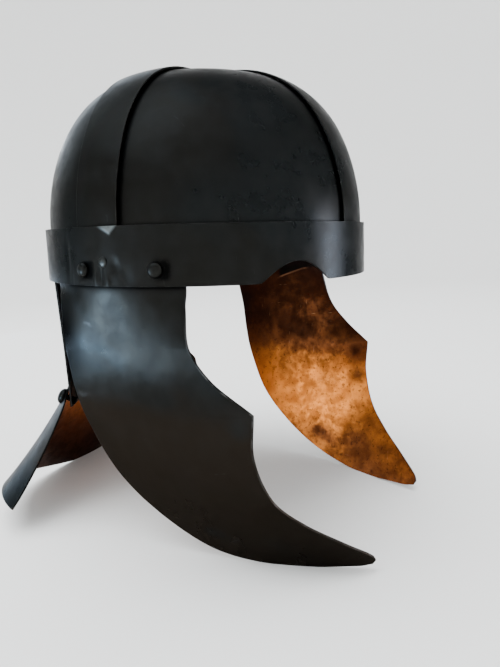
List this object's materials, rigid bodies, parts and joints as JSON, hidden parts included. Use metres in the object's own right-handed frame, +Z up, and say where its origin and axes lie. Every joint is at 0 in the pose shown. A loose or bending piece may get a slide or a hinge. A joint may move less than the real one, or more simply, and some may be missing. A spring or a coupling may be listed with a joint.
{
  "type": "spangenhelm helmet",
  "caption": "Sheet-steel spangenhelm: bowl of panels under crossing straps, brow band with eye arches, horn-shaped copper-lined cheek guards, nape plate and flared neck plate.",
  "frame": {"origin": "on the ground, under the middle of the helmet's bounding box", "axes": "+Z up, the face opening looks towards -Y, the wearer's right side is at -X"},
  "size_m": [0.2354, 0.2924, 0.2968],
  "materials": {
    "band": "dark oiled steel, scuffed",
    "guard": "dark steel outside, mottled copper colour inside",
    "plate": "dark oiled steel outside, copper colour inside",
    "panel": "dark oiled steel, satin",
    "strap": "dark oiled steel, satin",
    "rivet": "dark oiled steel"
  },
  "bodies": {
    "root": {"brow_band": "band", "cheek_guard_right": "guard", "cheek_guard_left": "guard", "nape_plate": "plate", "neck_plate": "plate", "panel_front_right": "panel", "panel_front_left": "panel", "panel_back_right": "panel", "panel_back_left": "panel", "strap_ear_to_ear": "strap", "strap_front_back": "strap", "guard_rivet_right_1": "rivet", "guard_rivet_right_2": "rivet", "guard_rivet_left_1": "rivet", "guard_rivet_left_2": "rivet", "peened_rivet_right": "rivet", "peened_rivet_left": "rivet", "nape_rivet_1": "rivet", "nape_rivet_2": "rivet", "nape_rivet_3": "rivet", "neck_rivet_1": "rivet", "neck_rivet_2": "rivet", "neck_rivet_3": "rivet"}
  },
  "joints": []
}
